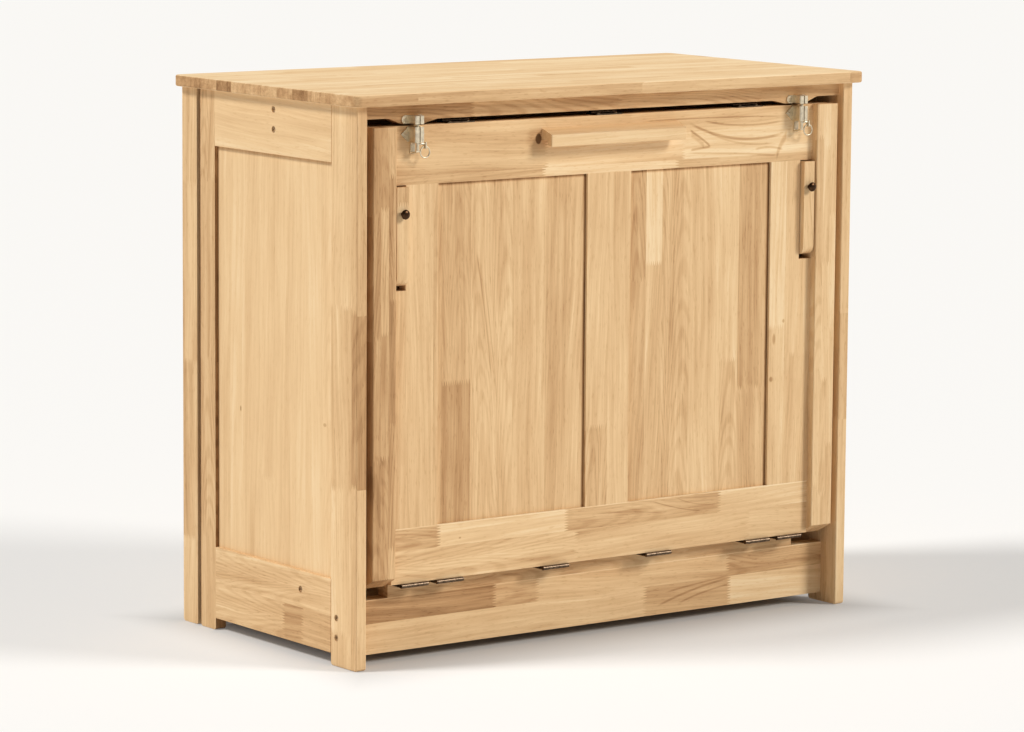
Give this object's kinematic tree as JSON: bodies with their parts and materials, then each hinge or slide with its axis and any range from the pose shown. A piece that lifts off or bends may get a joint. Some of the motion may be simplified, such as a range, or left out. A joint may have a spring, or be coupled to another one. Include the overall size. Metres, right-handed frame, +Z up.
{
  "type": "cabinet bed",
  "caption": "Wooden cabinet whose hinged front folds down and carries a second folding section with swing-out legs, so that it opens into a single bed.",
  "frame": {"origin": "on the floor, at the centre of the bounding box", "axes": "+Z up, +X to the right seen from the front, +Y towards the back; the front that folds down faces -Y"},
  "size_m": [1.054, 0.543, 0.927],
  "materials": {
    "solid_wood": "clear satin",
    "panel_wood": "clear satin",
    "inner_wood": "clear satin",
    "bronze": "dark antique",
    "zinc": "zinc plated"
  },
  "bodies": {
    "cabinet": {"top_slab": "solid_wood", "side_front_stile_left": "solid_wood", "side_rear_stile_left": "solid_wood", "side_top_rail_left": "solid_wood", "side_bottom_rail_left": "solid_wood", "rear_post_left": "solid_wood", "side_panel_left": "panel_wood", "side_front_stile_right": "solid_wood", "side_rear_stile_right": "solid_wood", "side_top_rail_right": "solid_wood", "side_bottom_rail_right": "solid_wood", "rear_post_right": "solid_wood", "side_panel_right": "panel_wood", "rear_cleats": "inner_wood", "back_top_rail": "inner_wood", "back_bottom_rail": "inner_wood", "top_stretcher": "inner_wood", "deck_cross_rail": "inner_wood", "deck_slats": "inner_wood", "back_panel": "panel_wood", "header_rail": "solid_wood", "front_apron": "solid_wood", "hinge_rail": "solid_wood", "side_bolts": "bronze", "cabinet_hinge_leaves": "bronze", "lower_hinge_pins": "bronze", "latch_keepers": "zinc"},
    "front_panel": {"door_top_rail": "solid_wood", "door_bottom_rail": "solid_wood", "door_stile_left": "solid_wood", "door_stile_right": "solid_wood", "door_centre_stile": "solid_wood", "door_side_rail_left": "solid_wood", "door_side_rail_right": "solid_wood", "pull_handle": "solid_wood", "door_panel_left": "panel_wood", "door_panel_right": "panel_wood", "door_hinge_leaves": "bronze", "fold_hinge_door_leaves": "bronze", "fold_hinge_pins": "bronze", "latch_cases": "zinc", "front_leg_pivots": "zinc"},
    "foot_panel": {"foot_near_rail": "inner_wood", "foot_far_rail": "inner_wood", "foot_side_rail_left": "inner_wood", "foot_side_rail_right": "inner_wood", "foot_deck_board": "panel_wood", "fold_hinge_foot_leaves": "bronze", "foot_leg_pivots": "zinc"},
    "front_leg_left": {"front_leg_left": "solid_wood", "front_leg_knob_left": "bronze"},
    "foot_leg_left": {"foot_leg_left": "inner_wood"},
    "latch_bolt_left": {"latch_bolt_left": "zinc"},
    "pull_ring_left": {"pull_ring_left": "zinc"},
    "front_leg_right": {"front_leg_right": "solid_wood", "front_leg_knob_right": "bronze"},
    "foot_leg_right": {"foot_leg_right": "inner_wood"},
    "latch_bolt_right": {"latch_bolt_right": "zinc"},
    "pull_ring_right": {"pull_ring_right": "zinc"}
  },
  "joints": [
    {"name": "front_fold", "type": "hinge", "parent": "cabinet", "child": "front_panel", "pos_m": [0, -0.2465, 0.1285], "axis": [1, 0, 0], "range_deg": [0, 90]},
    {"name": "foot_unfold", "type": "hinge", "parent": "front_panel", "child": "foot_panel", "pos_m": [0, -0.2215, 0.8767], "axis": [1, 0, 0], "range_deg": [0, 180]},
    {"name": "front_leg_left_swing", "type": "hinge", "parent": "front_panel", "child": "front_leg_left", "pos_m": [-0.42225, -0.2377, 0.639], "axis": [1, 0, 0], "range_deg": [0, 90]},
    {"name": "foot_leg_left_swing", "type": "hinge", "parent": "foot_panel", "child": "foot_leg_left", "pos_m": [-0.42225, -0.2053, 0.245], "axis": [-1, 0, 0], "range_deg": [0, 90]},
    {"name": "latch_left_slide", "type": "slide", "parent": "front_panel", "child": "latch_bolt_left", "axis": [0, 0, 1], "range_m": [0, 0.006]},
    {"name": "pull_ring_left_swing", "type": "hinge", "parent": "latch_bolt_left", "child": "pull_ring_left", "pos_m": [-0.3835, -0.2575, 0.84], "axis": [-1, 0, 0], "range_deg": [0, 70]},
    {"name": "front_leg_right_swing", "type": "hinge", "parent": "front_panel", "child": "front_leg_right", "pos_m": [0.42225, -0.2377, 0.639], "axis": [1, 0, 0], "range_deg": [0, 90]},
    {"name": "foot_leg_right_swing", "type": "hinge", "parent": "foot_panel", "child": "foot_leg_right", "pos_m": [0.42225, -0.2053, 0.245], "axis": [-1, 0, 0], "range_deg": [0, 90]},
    {"name": "latch_right_slide", "type": "slide", "parent": "front_panel", "child": "latch_bolt_right", "axis": [0, 0, 1], "range_m": [0, 0.006]},
    {"name": "pull_ring_right_swing", "type": "hinge", "parent": "latch_bolt_right", "child": "pull_ring_right", "pos_m": [0.4125, -0.2575, 0.84], "axis": [-1, 0, 0], "range_deg": [0, 70]}
  ],
  "couplings": [
    {"joint": "foot_unfold", "follows": "front_fold", "ratio": 1}
  ]
}
